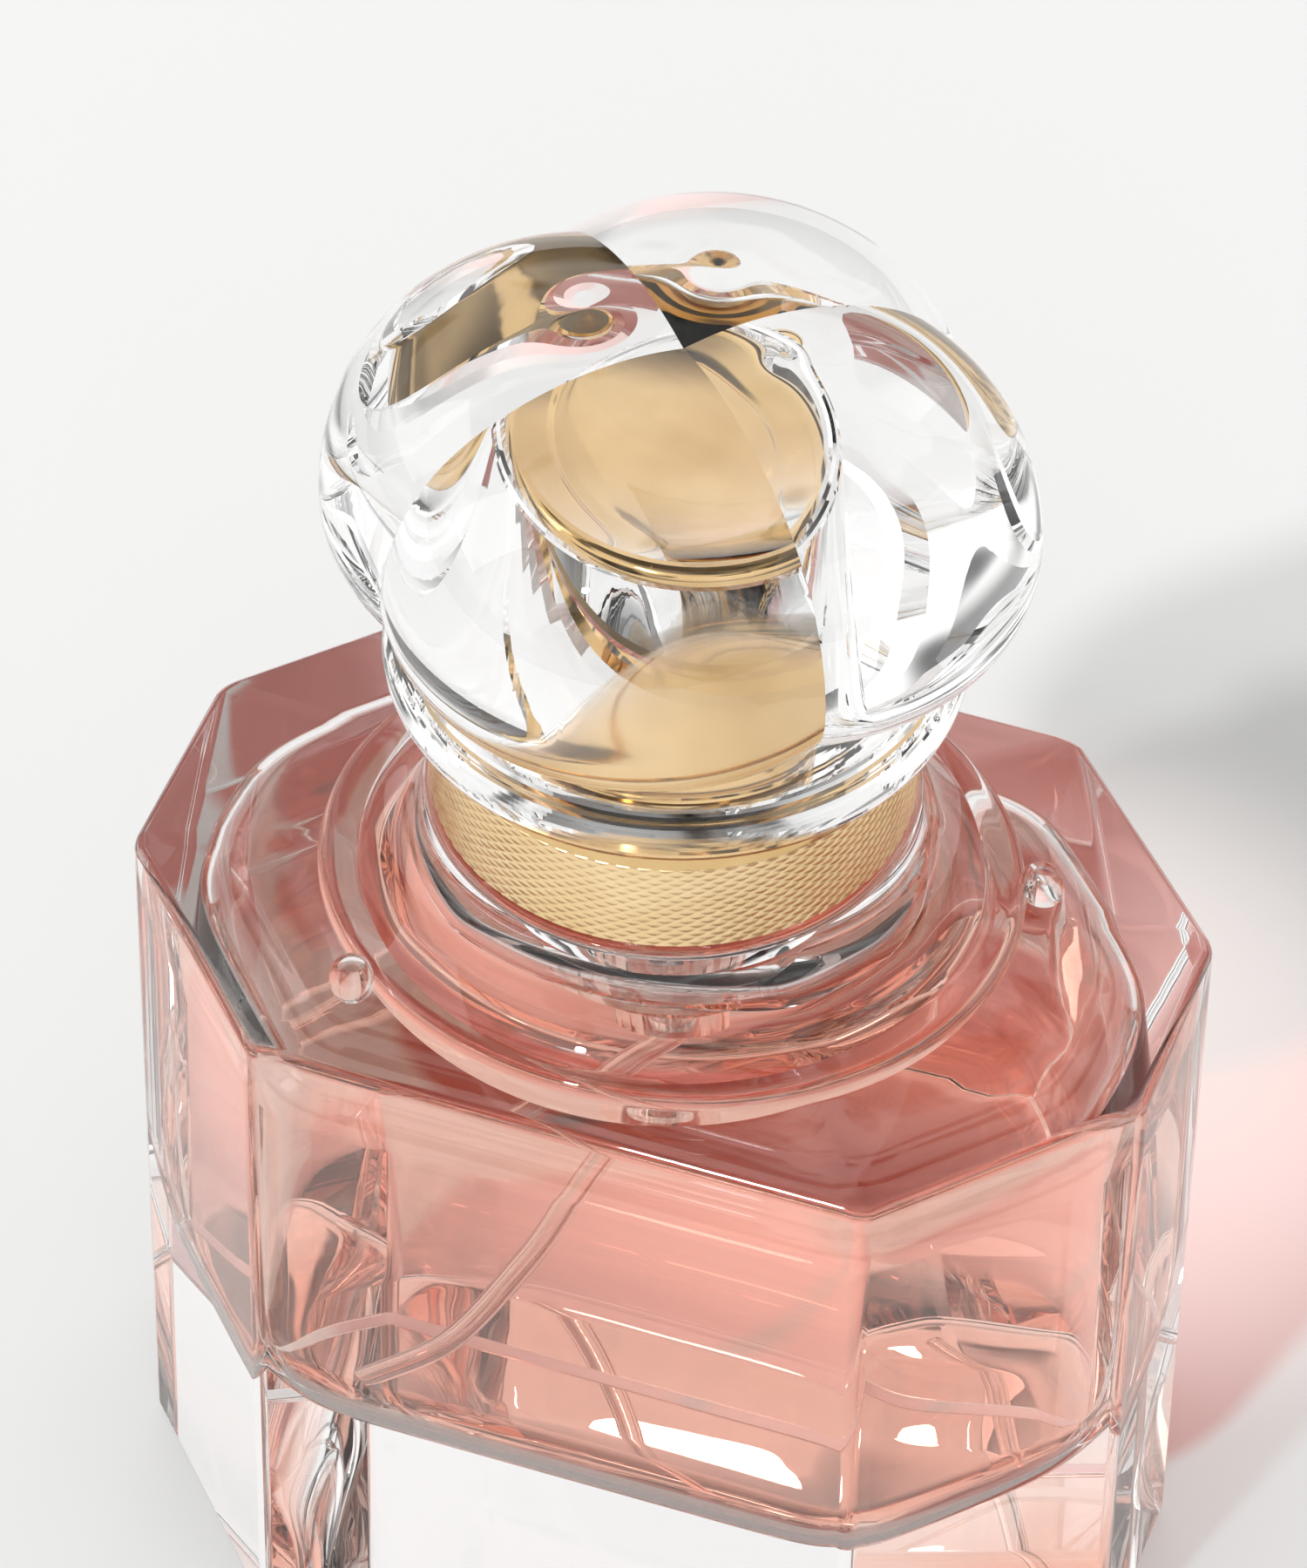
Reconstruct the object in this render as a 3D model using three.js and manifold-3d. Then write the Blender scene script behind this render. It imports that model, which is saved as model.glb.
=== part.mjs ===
// Perfume bottle: an octagonal clear glass flacon with a crimped spray pump, a gold
// collar, a gold spray head and a clear four-lobed crystal cap.
// Millimetres, +Z up. The base rests on z = 0, the bottle's axis is Z, and the wide
// front face looks along -Y.
import * as THREE from "three";
import { mergeVertices } from "three/addons/utils/BufferGeometryUtils.js";
import Module from "manifold-3d";

const wasm = await Module();
wasm.setup();

// ---------------------------------------------------------------- driving sizes
const FLACON = {
  width: 66, depth: 43.2, height: 54, // outer octagonal body, up to the top rim
  frontFace: 39.5, sideFace: 14.8, // lengths of the wide and the narrow upright faces
  crownRise: 6, // height above the rim at which the sloping top facets would meet
  footRound: 1.5,
};
const HOLLOW = {
  wall: 4.2, floor: 16.4, round: 7, roof: 2.5, // roof: depth of the chest's top below the rim
  shoulderDrop: 2, shoulderRise: 4.5, shoulderReach: 0.92, // domed shoulder up to the throat
};
const DISC = { width: 44.2, depth: 40.2, rise: 3, lip: 0.8, dish: 0.3 }; // oval raised disc
const NECK = {
  footRadius: 18.2, radius: 15.3, platform: 10.4, flarePower: 2.2, // flared glass neck
  finishRadius: 6.5, beadRadius: 7.5, beadHeight: 2.2, height: 3.6, boreRadius: 4.9,
};
const BEAD = { radius: 1.4, stretch: 1.25, outside: 0.9, rise: 0.8, angles: [-133.5, 15.5] };
const LIQUID = { level: 55.2 };
const TUBE = {
  radius: 0.8, bore: 0.45, reach: 18, heading: 212, endGap: 1.1,
  // shares of the way out and of the way down, along the curl below the pump's nipple
  curl: [[0, 0], [0.02, 0.07], [0.1, 0.2], [0.21, 0.39], [0.36, 0.58], [0.64, 0.85], [1, 1]],
};
const PUMP = {
  wall: 1.3, flange: 0.9, barrel: 16.5, gasket: 0.8, seal: 0.7,
  bushPlate: 0.7, bushTube: 1.2, bushTubeWall: 1.2, bossDepth: 2,
  chamberRadius: 1.35, chamberHeight: 2.6, mouthRadius: 0.8, mouthLip: 0.9,
  seatBore: 0.6, tubeStop: 1, nipple: 4.4, nippleWall: 1,
};
const PISTON = { length: 3.4, lip: 0.85, slope: 0.35, relief: 0.3 };
const STEM = { radius: 1.5, bore: 0.6, stroke: 3.4, tail: 0.6, plug: 2.5 };
const BALL = { radius: 1 };
const SPRING = { wire: 0.45, turns: 6 };
const FERRULE = { wall: 0.4, hole: 4.2, crimp: 0.5, chamfer: 0.3 };
const COLLAR = { radius: 15, wall: 0.75, height: 7.8, plate: 0.45, round: 0.35 };
const SEAT = {
  wall: 0.8, web: 0.5, skirtWall: 0.7, skirtGap: 0.4, innerSkirtGap: 1.4, engage: 0.6, chamfer: 0.2,
};
const HEAD = {
  radius: 5.6, wall: 0.4, height: 7.2, round: 0.8, coreChamfer: 0.7,
  nozzleRadius: 1.6, nozzleDepth: 1.9, nozzleDrop: 2.9, nozzleInset: 0.15, orifice: 0.25,
};
const CAP = {
  lobes: 4, lobeOffset: 4.25, lobeRadius: 17.5, // each lobe stands off the bottle's axis
  apex: 46.6, widest: 32.6, underside: 28.7, // heights above the flacon's rim
  crownPower: 0.86, underWidth: 3.6, underHeight: 4.5,
  waistRadius: 16.1, waistFlare: 1, rimRadius: 17.7, rimHeight: 2.8, rimBulge: 0.9, rimLift: 0.9,
  footRadius: 15.4,
};
const SLEEVE = { wall: 0.55, height: 15.4, round: 0.9, flange: 1, flangeThickness: 0.4 };
const LINER = { wall: 0.5, chamfer: 0.5 };

// ---------------------------------------------------------------- clearances
const FIT = {
  stack: 0.1, // between pieces stacked or seated on each other
  cut: 0.3, // between a piece and the hollow cut for it
  slide: 0.1, // piston in its barrel
  turn: 0.1, // stem in the spray head's socket
  grip: 0.15, // cap liner round its seat
  press: 0.5, // pump barrel in the neck, spray head in its seat
};

const SEGMENTS = { tiny: 10, small: 20, medium: 24, large: 48 };
const WELD = 1e-4; // vertices nearer than this are one vertex
const OVERSHOOT = 1; // how far a cutting solid runs past the surface it cuts

// ---------------------------------------------------------------- levels and radii
const rimZ = FLACON.height;
const discZ = rimZ + DISC.rise;
const ledgeZ = rimZ + NECK.platform;
const neckTopZ = ledgeZ + NECK.height;
const gasketZ = neckTopZ + FIT.stack;
const flangeZ = gasketZ + PUMP.gasket + FIT.stack;
const flangeTopZ = flangeZ + PUMP.flange;
const bushZ = flangeTopZ + FIT.stack;
const bushTopZ = bushZ + PUMP.bushPlate;
const ferrulePlateZ = bushTopZ + FIT.stack;
const ferruleTopZ = ferrulePlateZ + FERRULE.wall;
const webZ = ferruleTopZ + FIT.cut / 2;
const webTopZ = webZ + SEAT.web;
const collarPlateZ = webTopZ + FIT.stack;
const collarTopZ = collarPlateZ + COLLAR.plate;
const collarBottomZ = Math.max(collarTopZ - COLLAR.height, ledgeZ + FIT.stack);
const bushTubeTopZ = bushTopZ + PUMP.bushTube;
const headBottomZ = ferruleTopZ + STEM.stroke + FIT.cut;
const seatTopZ = headBottomZ + SEAT.engage;
const coreBottomZ = Math.max(headBottomZ + HEAD.wall * 2, bushTubeTopZ + STEM.stroke + FIT.cut);
const headTopZ = headBottomZ + HEAD.height;
const nozzleZ = headTopZ - HEAD.nozzleDrop;
const nozzleFrontY = -HEAD.radius + HEAD.nozzleInset;
const nozzleBackY = -HEAD.radius + HEAD.nozzleDepth;
const stemTopZ = coreBottomZ + STEM.plug;

const barrelRadius = NECK.boreRadius - FIT.press;
const barrelBore = barrelRadius - PUMP.wall;
const pumpFlangeRadius = NECK.beadRadius - FIT.cut;
const ferruleBore = NECK.beadRadius + FIT.grip;
const ferruleRadius = ferruleBore + FERRULE.wall;
const guideRadius = STEM.radius + FIT.turn * 2;
const bossRadius = barrelBore - FIT.stack;

const barrelBottomZ = flangeTopZ - PUMP.barrel;
const chamberTopZ = barrelBottomZ + PUMP.wall;
const chamberMouthZ = chamberTopZ - PUMP.mouthLip;
const chamberZ = chamberMouthZ - PUMP.chamberHeight;
const seatBoreZ = chamberZ - (PUMP.chamberRadius - PUMP.seatBore);
const tubeTopZ = seatBoreZ - PUMP.tubeStop;
const nippleZ = tubeTopZ - PUMP.nipple;
const tubeSocketRadius = TUBE.radius + FIT.stack;
const nippleRadius = tubeSocketRadius + PUMP.nippleWall;
const sealTopZ = bushZ - PUMP.bossDepth;
const sealZ = sealTopZ - PUMP.seal;
const pistonTopZ = sealZ - FIT.stack * 2;
const pistonZ = pistonTopZ - PISTON.length;
const stemBottomZ = pistonZ - STEM.tail;
const springBottomZ = chamberTopZ + FIT.stack;
const springTopZ = pistonZ - FIT.stack;
const springRadius = (STEM.radius + barrelBore) / 2;
const neckBeadZ = neckTopZ - NECK.beadHeight;

const seatBore = HEAD.radius + FIT.press;
const seatRadius = seatBore + SEAT.wall;
const collarOpening = seatRadius + FIT.cut;
const linerBore = seatRadius + FIT.grip;
const linerRadius = linerBore + LINER.wall;
const sleeveBore = linerRadius + FIT.stack;
const sleeveRadius = sleeveBore + SLEEVE.wall;
const crystalBore = sleeveRadius + FIT.cut;

const sleeveZ = collarTopZ + FIT.cut;
const sleeveTopZ = sleeveZ + SLEEVE.height;
const linerTopZ = sleeveTopZ - SLEEVE.wall - FIT.stack;
const linerCeilingZ = linerTopZ - LINER.wall;
const crystalZ = sleeveZ + SLEEVE.flangeThickness + FIT.cut;
const crystalBoreTopZ = sleeveTopZ + FIT.cut;

// ---------------------------------------------------------------- finishes
const FINISH = {
  glass: { color: 0xf4f6f6, roughness: 0.03, metalness: 0, transparent: true, opacity: 0.3 },
  perfume: { color: 0xd98a72, roughness: 0.05, metalness: 0, transparent: true, opacity: 0.6 },
  crystal: { color: 0xfbfbfa, roughness: 0.02, metalness: 0, transparent: true, opacity: 0.3 },
  satinGold: { color: 0xd9a860, roughness: 0.38, metalness: 1 },
  polishedGold: { color: 0xdcb06a, roughness: 0.15, metalness: 1 },
  clearPlastic: { color: 0xe9ecec, roughness: 0.2, metalness: 0, transparent: true, opacity: 0.45 },
  whitePlastic: { color: 0xf1f0ec, roughness: 0.45, metalness: 0 },
  rubber: { color: 0xd5d2cb, roughness: 0.7, metalness: 0 },
  steel: { color: 0xc9ccd0, roughness: 0.25, metalness: 1 },
  aluminium: { color: 0xd2d3d2, roughness: 0.35, metalness: 1 },
};

// ---------------------------------------------------------------- geometry helpers
const radians = THREE.MathUtils.degToRad;

// Welds a geometry's vertices, drops slivers and turns its faces outwards.
function welded(geometry) {
  const bare = geometry.clone();
  bare.deleteAttribute("normal");
  bare.deleteAttribute("uv");
  const merged = mergeVertices(bare, WELD);
  const at = merged.attributes.position;
  const corner = (index) => new THREE.Vector3().fromBufferAttribute(at, index);
  const faces = [];
  let volume = 0;
  for (let i = 0; i < merged.index.count; i += 3) {
    const [a, b, c] = [0, 1, 2].map((k) => merged.index.getX(i + k));
    if (a === b || b === c || c === a) continue;
    faces.push([a, b, c]);
    volume += corner(a).dot(corner(b).cross(corner(c)));
  }
  const ordered = volume < 0 ? faces.map(([a, b, c]) => [a, c, b]) : faces;
  merged.setIndex(ordered.flat());
  return merged;
}

function solid(geometry) {
  const mesh = welded(geometry);
  return new wasm.Manifold(new wasm.Mesh({
    numProp: 3,
    vertProperties: new Float32Array(mesh.attributes.position.array),
    triVerts: new Uint32Array(mesh.index.array),
  }));
}

function surface(body) {
  const mesh = body.getMesh();
  const geometry = new THREE.BufferGeometry();
  geometry.setAttribute("position", new THREE.BufferAttribute(new Float32Array(mesh.vertProperties), 3));
  geometry.setIndex(new THREE.BufferAttribute(new Uint32Array(mesh.triVerts), 1));
  return geometry;
}

// A profile of [radius, height] pairs turned about Z. It ends on the axis or closes on itself.
function turned(profile, segments = SEGMENTS.medium) {
  const points = profile.map(([r, z]) => new THREE.Vector2(r, z));
  const [first, last] = [points[0], points[points.length - 1]];
  if (first.x > 0 || last.x > 0) points.push(first.clone());
  return new THREE.LatheGeometry(points, segments).rotateX(Math.PI / 2);
}

function disk(radius, z0, z1, segments = SEGMENTS.medium) {
  return turned([[0, z0], [radius, z0], [radius, z1], [0, z1]], segments);
}

function ring(inner, outer, z0, z1, segments = SEGMENTS.medium) {
  return turned([[inner, z0], [outer, z0], [outer, z1], [inner, z1]], segments);
}

// Points on an elliptical arc of a profile, from one angle to another, in degrees from +radius.
function arc([r, z], [reach, rise], from, to, steps) {
  return Array.from({ length: steps + 1 }, (_, i) => {
    const t = radians(from + ((to - from) * i) / steps);
    return [r + reach * Math.cos(t), z + rise * Math.sin(t)];
  });
}

// A rod along Y, from y0 to y1, at height z.
function rodAlongY(radius, y0, y1, z, segments = SEGMENTS.small) {
  return new THREE.CylinderGeometry(radius, radius, y1 - y0, segments).translate(0, (y0 + y1) / 2, z);
}

function ball(radius) {
  return new THREE.SphereGeometry(radius, 12, 8).rotateX(Math.PI / 2);
}

// Each upright face of the flacon, as its normal's direction and its distance from the axis.
function octagonEdges() {
  const [x, y] = [FLACON.width / 2, FLACON.depth / 2];
  const [fx, sy] = [FLACON.frontFace / 2, FLACON.sideFace / 2];
  const cant = Math.atan2(x - fx, y - sy);
  const cantDistance = x * Math.cos(cant) + sy * Math.sin(cant);
  const half = [
    { angle: 0, distance: x },
    { angle: cant, distance: cantDistance },
    { angle: Math.PI / 2, distance: y },
    { angle: Math.PI - cant, distance: cantDistance },
  ];
  return [...half, ...half.map((edge) => ({ ...edge, angle: edge.angle + Math.PI }))];
}

// Plan corners of the octagon, moved inwards by inset, anticlockwise.
function octagonCorners(inset) {
  const edges = octagonEdges();
  return edges.map((edge, i) => {
    const next = edges[(i + 1) % edges.length];
    const [near, far] = [edge.distance - inset, next.distance - inset];
    const turn = Math.sin(next.angle - edge.angle);
    return new THREE.Vector2(
      (near * Math.sin(next.angle) - far * Math.sin(edge.angle)) / turn,
      (far * Math.cos(edge.angle) - near * Math.cos(next.angle)) / turn,
    );
  });
}

// An octagonal block with its end edges rounded by round.
function octagonBlock(inset, z0, z1, round, roundSteps) {
  const shape = new THREE.Shape(octagonCorners(inset + round));
  return new THREE.ExtrudeGeometry(shape, {
    depth: z1 - z0 - 2 * round, bevelThickness: round, bevelSize: round, bevelSegments: roundSteps,
  }).translate(0, 0, z0 + round);
}

// ---------------------------------------------------------------- glass flacon and perfume
// The sloping top facets: one slab above each upright face, cut away from the block.
function crownCutters() {
  const reach = FLACON.width * 2;
  return octagonEdges().map(({ angle, distance }) => {
    const slope = Math.atan2(FLACON.crownRise, distance);
    const slab = new THREE.BoxGeometry(reach, reach, FLACON.height)
      .translate(0, 0, FLACON.height / 2)
      .rotateY(slope)
      .translate(distance, 0, rimZ)
      .rotateZ(angle);
    return solid(slab);
  });
}

function raisedDisc() {
  const edge = DISC.width / 2;
  const baseZ = rimZ - OVERSHOOT;
  const lip = arc([edge - DISC.lip, discZ - DISC.lip], [DISC.lip, DISC.lip], 0, 90, 3);
  const profile = [
    [0, baseZ], [edge, baseZ], ...lip, [edge - DISC.lip * 2.5, discZ - DISC.dish], [0, discZ + DISC.dish],
  ];
  return turned(profile, SEGMENTS.large).scale(1, DISC.depth / DISC.width, 1);
}

function neckOutside() {
  const flare = NECK.footRadius - NECK.radius;
  const flank = [0, 0.15, 0.35, 0.6, 0.85].map((t) => [
    NECK.radius + flare * (1 - t) ** NECK.flarePower, discZ + (ledgeZ - discZ) * t,
  ]);
  const chamfer = (NECK.beadRadius - NECK.finishRadius) / 2;
  return turned([
    [0, rimZ - OVERSHOOT], [NECK.footRadius, rimZ - OVERSHOOT], ...flank, [NECK.radius, ledgeZ],
    [NECK.finishRadius, ledgeZ], [NECK.finishRadius, neckBeadZ], [NECK.beadRadius, neckBeadZ + chamfer],
    [NECK.beadRadius, neckTopZ - chamfer], [NECK.beadRadius - chamfer, neckTopZ], [0, neckTopZ],
  ], SEGMENTS.large);
}

// The inside of the bottle, made smaller all round by inset: a chest, a domed shoulder and a throat.
function hollow(inset) {
  const chestTopZ = rimZ - HOLLOW.roof - inset;
  const chest = octagonBlock(HOLLOW.wall + inset, HOLLOW.floor + inset, chestTopZ, HOLLOW.round, 3);
  const bore = NECK.boreRadius - inset;
  const brow = FLACON.depth / 2 - HOLLOW.wall - inset;
  const domeZ = chestTopZ - HOLLOW.shoulderDrop;
  const domeRise = HOLLOW.shoulderDrop + HOLLOW.shoulderRise;
  const dome = arc([bore, domeZ], [brow - bore, domeRise], 0, 90, 3);
  const footZ = chestTopZ - HOLLOW.round;
  const shoulder = turned([[0, footZ], [brow, footZ], ...dome, [0, domeZ + domeRise]])
    .scale((FLACON.width / FLACON.depth) * HOLLOW.shoulderReach, 1, 1);
  const throat = disk(bore, domeZ, neckTopZ + OVERSHOOT);
  return solid(chest).add(solid(shoulder)).add(solid(throat));
}

// A clear bead moulded beside the disc, in the direction angle.
function moldedBead(angle) {
  const direction = radians(angle);
  const edge = 1 / Math.hypot((2 * Math.cos(direction)) / DISC.width, (2 * Math.sin(direction)) / DISC.depth);
  const away = edge + BEAD.outside;
  const beadZ = discZ - BEAD.radius + BEAD.rise;
  return solid(ball(BEAD.radius)
    .scale(1, 1, BEAD.stretch)
    .translate(away * Math.cos(direction), away * Math.sin(direction), beadZ));
}

function glassBottle() {
  const block = solid(octagonBlock(0, 0, rimZ + FLACON.crownRise * 2, FLACON.footRound, 2));
  const facetted = crownCutters().reduce((body, cutter) => body.subtract(cutter), block);
  const topped = facetted.add(solid(raisedDisc())).add(solid(neckOutside()));
  const beaded = BEAD.angles.reduce((body, angle) => body.add(moldedBead(angle)), topped);
  return surface(beaded.subtract(hollow(0)));
}

function perfume() {
  const below = solid(new THREE.BoxGeometry(FLACON.width, FLACON.depth, LIQUID.level)
    .translate(0, 0, LIQUID.level / 2));
  const channel = solid(tubeAlong(TUBE.radius + FIT.cut, 0, tubePath(FIT.cut)))
    .add(solid(pumpBarrelEnvelope(FIT.cut)));
  return surface(hollow(FIT.cut).intersect(below).subtract(channel));
}

// ---------------------------------------------------------------- dip tube
// Straight down through the pump's nipple, then curling towards a bottom corner of the flacon.
function tubePath(extra = 0) {
  const heading = radians(TUBE.heading);
  const reach = TUBE.reach + extra;
  const endZ = HOLLOW.floor + TUBE.endGap + TUBE.radius - extra / 2;
  const curlZ = nippleZ - TUBE.radius;
  const curl = TUBE.curl.map(([out, down]) => new THREE.Vector3(
    out * reach * Math.cos(heading), out * reach * Math.sin(heading), curlZ - down * (curlZ - endZ),
  ));
  return new THREE.CatmullRomCurve3([new THREE.Vector3(0, 0, tubeTopZ), ...curl]);
}

function tubeAlong(radius, bore, path) {
  const section = new THREE.Shape().absarc(0, 0, radius, 0, Math.PI * 2);
  if (bore > 0) section.holes.push(new THREE.Path().absarc(0, 0, bore, 0, Math.PI * 2, true));
  return new THREE.ExtrudeGeometry(section, { steps: 18, extrudePath: path, curveSegments: 5 });
}

// ---------------------------------------------------------------- pump
// The outside of the pump's barrel and nipple, larger all round by clearance.
function pumpBarrelEnvelope(clearance) {
  return turned([
    [0, nippleZ - clearance], [nippleRadius + clearance, nippleZ - clearance],
    [nippleRadius + clearance, seatBoreZ - clearance], [barrelRadius + clearance, chamberZ - clearance],
    [barrelRadius + clearance, neckTopZ], [0, neckTopZ],
  ]);
}

function pumpHousing() {
  return turned([
    [tubeSocketRadius, nippleZ], [nippleRadius, nippleZ], [nippleRadius, seatBoreZ],
    [barrelRadius, chamberZ], [barrelRadius, flangeZ], [pumpFlangeRadius, flangeZ],
    [pumpFlangeRadius, flangeTopZ], [barrelBore, flangeTopZ], [barrelBore, chamberTopZ],
    [PUMP.mouthRadius, chamberTopZ], [PUMP.mouthRadius, chamberMouthZ],
    [PUMP.chamberRadius, chamberMouthZ], [PUMP.chamberRadius, chamberZ],
    [PUMP.seatBore, seatBoreZ], [PUMP.seatBore, tubeTopZ + FIT.stack],
    [tubeSocketRadius, tubeTopZ + FIT.stack],
  ]);
}

// The ball's centre, where it rests on the chamber's 45 degree cone.
const ballZ = seatBoreZ - PUMP.seatBore + (BALL.radius + FIT.stack / 2) * Math.SQRT2;

function returnSpring() {
  const perTurn = 12;
  const steps = SPRING.turns * perTurn;
  const bottom = springBottomZ + SPRING.wire / 2;
  const climb = springTopZ - springBottomZ - SPRING.wire;
  const points = Array.from({ length: steps + 1 }, (_, i) => {
    const turn = (i / perTurn) * Math.PI * 2;
    return new THREE.Vector3(
      springRadius * Math.cos(turn), springRadius * Math.sin(turn), bottom + (climb * i) / steps,
    );
  });
  const section = new THREE.Shape().absarc(0, 0, SPRING.wire / 2, 0, Math.PI * 2);
  const path = new THREE.CatmullRomCurve3(points);
  return new THREE.ExtrudeGeometry(section, { steps, extrudePath: path, curveSegments: 3 });
}

// Two sealing lips with a relieved waist between them.
function piston() {
  const outer = barrelBore - FIT.slide;
  const inner = STEM.radius + FIT.stack;
  const waist = outer - PISTON.relief;
  const waistInset = PISTON.lip + PISTON.slope;
  return turned([
    [inner, pistonZ], [outer, pistonZ], [outer, pistonZ + PISTON.lip], [waist, pistonZ + waistInset],
    [waist, pistonTopZ - waistInset], [outer, pistonTopZ - PISTON.lip], [outer, pistonTopZ],
    [inner, pistonTopZ],
  ], SEGMENTS.small);
}

function closureBush() {
  return turned([
    [guideRadius, sealTopZ + FIT.stack], [bossRadius, sealTopZ + FIT.stack], [bossRadius, bushZ],
    [pumpFlangeRadius, bushZ], [pumpFlangeRadius, bushTopZ], [FERRULE.hole - FIT.cut, bushTopZ],
    [guideRadius + PUMP.bushTubeWall, bushTubeTopZ], [guideRadius, bushTubeTopZ],
  ]);
}

// A cup over the neck's bead, its skirt turned in underneath.
function crimpFerrule() {
  const lipZ = neckBeadZ - FIT.stack;
  const skirtZ = lipZ - FERRULE.wall;
  const crimpRadius = NECK.beadRadius - FERRULE.crimp;
  const { chamfer } = FERRULE;
  return turned([
    [crimpRadius, skirtZ], [ferruleRadius - chamfer, skirtZ], [ferruleRadius, skirtZ + chamfer],
    [ferruleRadius, ferruleTopZ - chamfer], [ferruleRadius - chamfer, ferruleTopZ],
    [FERRULE.hole, ferruleTopZ], [FERRULE.hole, ferrulePlateZ], [ferruleBore, ferrulePlateZ],
    [ferruleBore, lipZ], [crimpRadius, lipZ],
  ]);
}

// ---------------------------------------------------------------- collar and cap seat
function collarRing() {
  const { radius, wall, round } = COLLAR;
  return turned([
    [radius - wall, collarBottomZ], [radius, collarBottomZ],
    [radius, collarTopZ - round], [radius - round, collarTopZ], [collarOpening, collarTopZ],
    [collarOpening, collarPlateZ], [radius - wall, collarPlateZ],
  ], SEGMENTS.large);
}

// The plastic insert that holds the collar on the ferrule, with the tube the cap grips.
function capSeat() {
  const outer = COLLAR.radius - COLLAR.wall - FIT.stack;
  const grip = ferruleRadius + FIT.grip;
  const skirtZ = collarBottomZ + SEAT.skirtGap;
  const innerSkirtZ = collarBottomZ + SEAT.innerSkirtGap;
  return turned([
    [seatBore, webZ], [grip, webZ], [grip, innerSkirtZ], [grip + SEAT.skirtWall, innerSkirtZ],
    [grip + SEAT.skirtWall, webZ], [outer - SEAT.skirtWall, webZ], [outer - SEAT.skirtWall, skirtZ],
    [outer, skirtZ], [outer, webTopZ], [seatRadius, webTopZ], [seatRadius, seatTopZ - SEAT.chamfer],
    [seatRadius - SEAT.chamfer, seatTopZ], [seatBore, seatTopZ],
  ]);
}

// ---------------------------------------------------------------- spray head
// A metal cup, open below, with a port for the nozzle in its front.
function headShell() {
  const inner = HEAD.radius - HEAD.wall;
  const roofZ = headTopZ - HEAD.wall;
  const edge = arc([HEAD.radius - HEAD.round, headTopZ - HEAD.round], [HEAD.round, HEAD.round], 0, 90, 2);
  const inside = [[0, roofZ], [inner - HEAD.wall, roofZ], [inner, roofZ - HEAD.wall], [inner, headBottomZ]];
  const cup = turned([[inner, headBottomZ], [HEAD.radius, headBottomZ], ...edge, [0, headTopZ], ...inside]);
  const port = rodAlongY(HEAD.nozzleRadius + FIT.stack, -HEAD.radius - OVERSHOOT, -HEAD.radius / 2, nozzleZ);
  return surface(solid(cup).subtract(solid(port)));
}

// The plastic body inside: a socket for the stem, a duct and a pocket for the nozzle.
function headCore() {
  const radius = HEAD.radius - HEAD.wall - FIT.stack;
  const topZ = headTopZ - HEAD.wall - FIT.stack;
  const body = turned([
    [0, coreBottomZ], [radius, coreBottomZ], [radius, topZ - HEAD.coreChamfer],
    [radius - HEAD.coreChamfer, topZ], [0, topZ],
  ]);
  const cuts = [
    disk(STEM.radius + FIT.turn, coreBottomZ - OVERSHOOT, stemTopZ + FIT.stack, SEGMENTS.small),
    disk(STEM.bore, stemTopZ - OVERSHOOT, nozzleZ + STEM.bore, SEGMENTS.tiny),
    rodAlongY(STEM.bore, -HEAD.radius, STEM.bore / 2, nozzleZ, SEGMENTS.tiny),
    rodAlongY(HEAD.nozzleRadius + FIT.stack, -HEAD.radius - OVERSHOOT, nozzleBackY + FIT.stack, nozzleZ),
  ];
  return surface(cuts.reduce((core, cut) => core.subtract(solid(cut)), solid(body)));
}

function nozzleInsert() {
  const plug = rodAlongY(HEAD.nozzleRadius, nozzleFrontY, nozzleBackY, nozzleZ);
  const [holeFrontY, holeBackY] = [nozzleFrontY - OVERSHOOT, nozzleBackY + OVERSHOOT];
  const hole = rodAlongY(HEAD.orifice, holeFrontY, holeBackY, nozzleZ, SEGMENTS.tiny);
  return surface(solid(plug).subtract(solid(hole)));
}

// ---------------------------------------------------------------- cap
// One lobe of the crystal, turned about an axis of its own.
function capLobe(angle) {
  const r = CAP.lobeRadius;
  const widestZ = rimZ + CAP.widest;
  const rise = CAP.apex - CAP.widest;
  const under = arc([r - CAP.underWidth, widestZ], [CAP.underWidth, CAP.underHeight], -90, 0, 3);
  const crown = arc([0, widestZ], [1, rise], 12, 78, 5).map(([c, z]) => [r * c ** CAP.crownPower, z]);
  const profile = [[0, widestZ - CAP.underHeight], ...under, ...crown, [0, rimZ + CAP.apex]];
  return turned(profile, SEGMENTS.large)
    .translate(CAP.lobeOffset * Math.cos(angle), CAP.lobeOffset * Math.sin(angle), 0);
}

// The round foot, rim and waist under the lobes.
function capStalk() {
  const rimMiddleZ = crystalZ + CAP.rimLift + CAP.rimHeight / 2;
  const rim = arc([CAP.rimRadius - CAP.rimBulge, rimMiddleZ], [CAP.rimBulge, CAP.rimHeight / 2], -90, 90, 4);
  const waistZ = rimMiddleZ + CAP.rimHeight / 2 + CAP.rimBulge;
  const underZ = rimZ + CAP.underside;
  return turned([
    [0, crystalZ], [CAP.footRadius, crystalZ], ...rim,
    [CAP.waistRadius, waistZ], [CAP.waistRadius, underZ - CAP.waistFlare],
    [CAP.waistRadius + CAP.waistFlare, underZ], [0, underZ + CAP.waistFlare],
  ], SEGMENTS.large);
}

function capCrystal() {
  const quarters = Array.from({ length: CAP.lobes }, (_, i) => (i * 2 * Math.PI) / CAP.lobes);
  const clear = quarters.reduce((body, angle) => body.add(solid(capLobe(angle))), solid(capStalk()));
  const bore = disk(crystalBore, crystalZ - OVERSHOOT, crystalBoreTopZ);
  return surface(clear.subtract(solid(bore)));
}

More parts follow.
